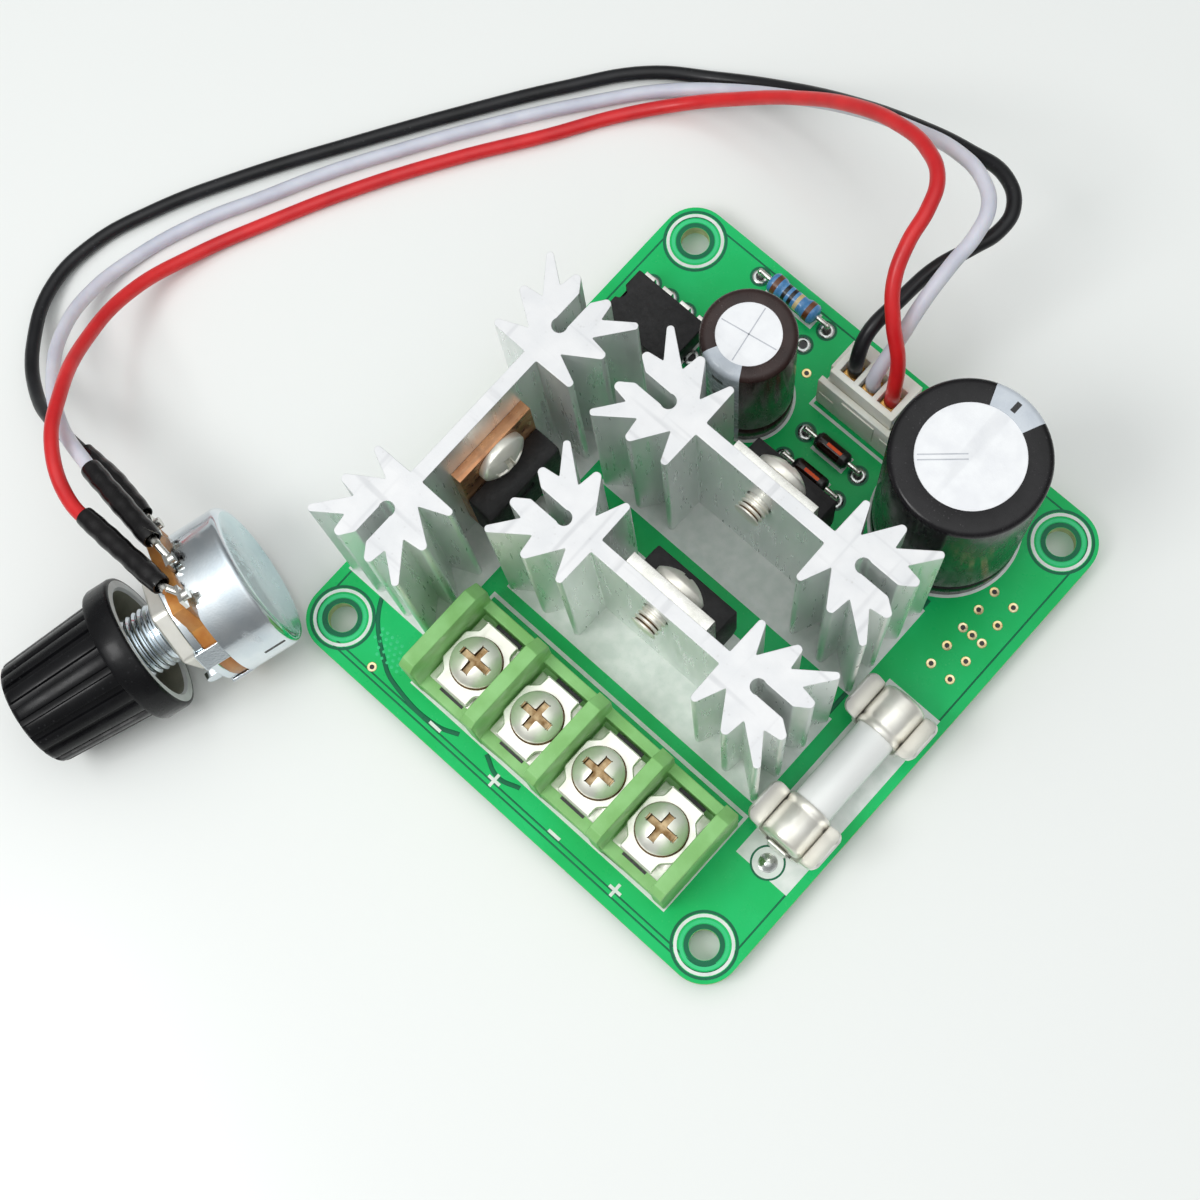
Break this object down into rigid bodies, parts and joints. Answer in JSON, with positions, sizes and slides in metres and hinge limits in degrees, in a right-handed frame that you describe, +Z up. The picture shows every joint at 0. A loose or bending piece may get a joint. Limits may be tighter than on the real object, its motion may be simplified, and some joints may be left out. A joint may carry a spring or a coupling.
{
  "type": "dc motor speed controller",
  "caption": "Small open circuit board with finned heatsinks, a screw terminal strip and a fuse, and a loose potentiometer with its knob on thin wires.",
  "frame": {"origin": "centre of the four mounting holes, on the underside of the circuit board", "axes": "+Z up out of the component side, +Y from the terminal strip towards the connector, +X along the terminal strip"},
  "size_m": [0.1093, 0.1109, 0.0285],
  "materials": {
    "board_green": "glossy solder mask over woven glass laminate",
    "silk_white": "thin matt printed ink",
    "solder": "bright rounded solder",
    "milled_aluminium": "extruded and sawn, satin sides and bright cut tops",
    "tinned_steel": "tin plated, bright with fine scratches",
    "copper_tab": "bare coppery tab, slightly tarnished",
    "bright_tab": "tinned tab, satin",
    "moulded_epoxy": "black moulded epoxy, fine matt texture",
    "strip_green": "leaf green moulded plastic, half gloss",
    "nickel_contact": "nickel plated stamping",
    "nickel_screw": "nickel plated, bright, brownish in the recess",
    "fuse_body": "opaque white tube, smooth",
    "can_aluminium": "bare drawn can, satin",
    "sleeve_black": "shrunk film, glossy, with a pale stripe",
    "sleeve_brown": "dark brown shrunk film, glossy",
    "rolled_foil": "rolled foil and paper",
    "rubber_bung": "matt rubber",
    "resistor_blue": "lacquered, with colour bands",
    "diode_glass": "orange glass with a black band",
    "connector_ivory": "slightly clear nylon",
    "gilt_contact": "gold coloured plating",
    "wire_black_cover": "soft PVC",
    "wire_white_cover": "soft PVC",
    "wire_red_cover": "soft PVC",
    "shrink_sleeve": "shrunk tube, glossy with soft ripples",
    "zinc_can": "bright zinc plate",
    "phenolic_wafer": "brown pressed laminate",
    "rotor_plastic": "moulded plastic",
    "knob_black": "glossy black moulding, grey round its rear"
  },
  "bodies": {
    "root": {"circuit_board": "board_green", "silkscreen": "silk_white", "solder_joints": "solder", "heatsink_left": "milled_aluminium", "heatsink_rear": "milled_aluminium", "heatsink_front": "milled_aluminium", "heatsink_pins": "tinned_steel", "transistor_left_tab": "copper_tab", "transistor_rear_tab": "bright_tab", "transistor_front_tab": "bright_tab", "transistor_left_body": "moulded_epoxy", "transistor_rear_body": "moulded_epoxy", "transistor_front_body": "moulded_epoxy", "heatsink_screws": "nickel_screw", "terminal_housing": "strip_green", "contact_1": "nickel_contact", "contact_2": "nickel_contact", "contact_3": "nickel_contact", "contact_4": "nickel_contact", "fuse_clip_rear": "tinned_steel", "fuse_clip_front": "tinned_steel", "big_capacitor_can": "can_aluminium", "big_capacitor_sleeve": "sleeve_black", "small_capacitor_can": "can_aluminium", "small_capacitor_sleeve": "sleeve_brown", "capacitor_rolls": "rolled_foil", "capacitor_bungs": "rubber_bung", "capacitor_leads": "tinned_steel", "chip_body": "moulded_epoxy", "chip_legs": "tinned_steel", "resistor_body": "resistor_blue", "diodes": "diode_glass", "small_part_leads": "tinned_steel", "connector_header": "connector_ivory", "header_pins": "gilt_contact", "plug_housing": "connector_ivory", "plug_contacts": "gilt_contact", "wire_black": "wire_black_cover", "wire_white": "wire_white_cover", "wire_red": "wire_red_cover", "wire_sleeves": "shrink_sleeve", "pot_can": "zinc_can", "pot_bushing": "zinc_can", "pot_nut": "nickel_contact", "pot_wafer": "phenolic_wafer", "pot_lugs": "tinned_steel"},
    "clamp_1": {"clamp_plate_1": "nickel_contact"},
    "clamp_2": {"clamp_plate_2": "nickel_contact"},
    "clamp_3": {"clamp_plate_3": "nickel_contact"},
    "clamp_4": {"clamp_plate_4": "nickel_contact"},
    "screw_1": {"terminal_screw_1": "nickel_screw"},
    "screw_2": {"terminal_screw_2": "nickel_screw"},
    "screw_3": {"terminal_screw_3": "nickel_screw"},
    "screw_4": {"terminal_screw_4": "nickel_screw"},
    "fuse": {"fuse_tube": "fuse_body", "fuse_caps": "tinned_steel", "fuse_wire": "tinned_steel"},
    "knob": {"knob": "knob_black", "shaft": "can_aluminium", "pot_rotor": "rotor_plastic"}
  },
  "joints": [
    {"name": "knob_turn", "type": "hinge", "parent": "root", "child": "knob", "pos_m": [-0.0382, -0.044, 0.00649], "axis": [0.3055, 0.9402, 0.1508], "range_deg": [-150, 150]},
    {"name": "clamp_lift_1", "type": "slide", "parent": "root", "child": "clamp_1", "axis": [0, 0, 1], "range_m": [0, 0.0018]},
    {"name": "screw_turn_1", "type": "hinge", "parent": "clamp_1", "child": "screw_1", "pos_m": [-0.0104, -0.02294, 0.008], "axis": [0, 0, 1], "range_deg": [0, 1080]},
    {"name": "clamp_lift_2", "type": "slide", "parent": "root", "child": "clamp_2", "axis": [0, 0, 1], "range_m": [0, 0.0018]},
    {"name": "screw_turn_2", "type": "hinge", "parent": "clamp_2", "child": "screw_2", "pos_m": [-0.0018, -0.02294, 0.008], "axis": [0, 0, 1], "range_deg": [0, 1080]},
    {"name": "clamp_lift_3", "type": "slide", "parent": "root", "child": "clamp_3", "axis": [0, 0, 1], "range_m": [0, 0.0018]},
    {"name": "screw_turn_3", "type": "hinge", "parent": "clamp_3", "child": "screw_3", "pos_m": [0.0068, -0.02294, 0.008], "axis": [0, 0, 1], "range_deg": [0, 1080]},
    {"name": "clamp_lift_4", "type": "slide", "parent": "root", "child": "clamp_4", "axis": [0, 0, 1], "range_m": [0, 0.0018]},
    {"name": "screw_turn_4", "type": "hinge", "parent": "clamp_4", "child": "screw_4", "pos_m": [0.0154, -0.02294, 0.008], "axis": [0, 0, 1], "range_deg": [0, 1080]},
    {"name": "fuse_lift", "type": "slide", "parent": "root", "child": "fuse", "axis": [0, 0, 1], "range_m": [0, 0.01]}
  ],
  "couplings": [
    {"joint": "screw_turn_1", "follows": "clamp_lift_1", "rad_per_m": 10472},
    {"joint": "screw_turn_2", "follows": "clamp_lift_2", "rad_per_m": 10472},
    {"joint": "screw_turn_3", "follows": "clamp_lift_3", "rad_per_m": 10472},
    {"joint": "screw_turn_4", "follows": "clamp_lift_4", "rad_per_m": 10472}
  ]
}
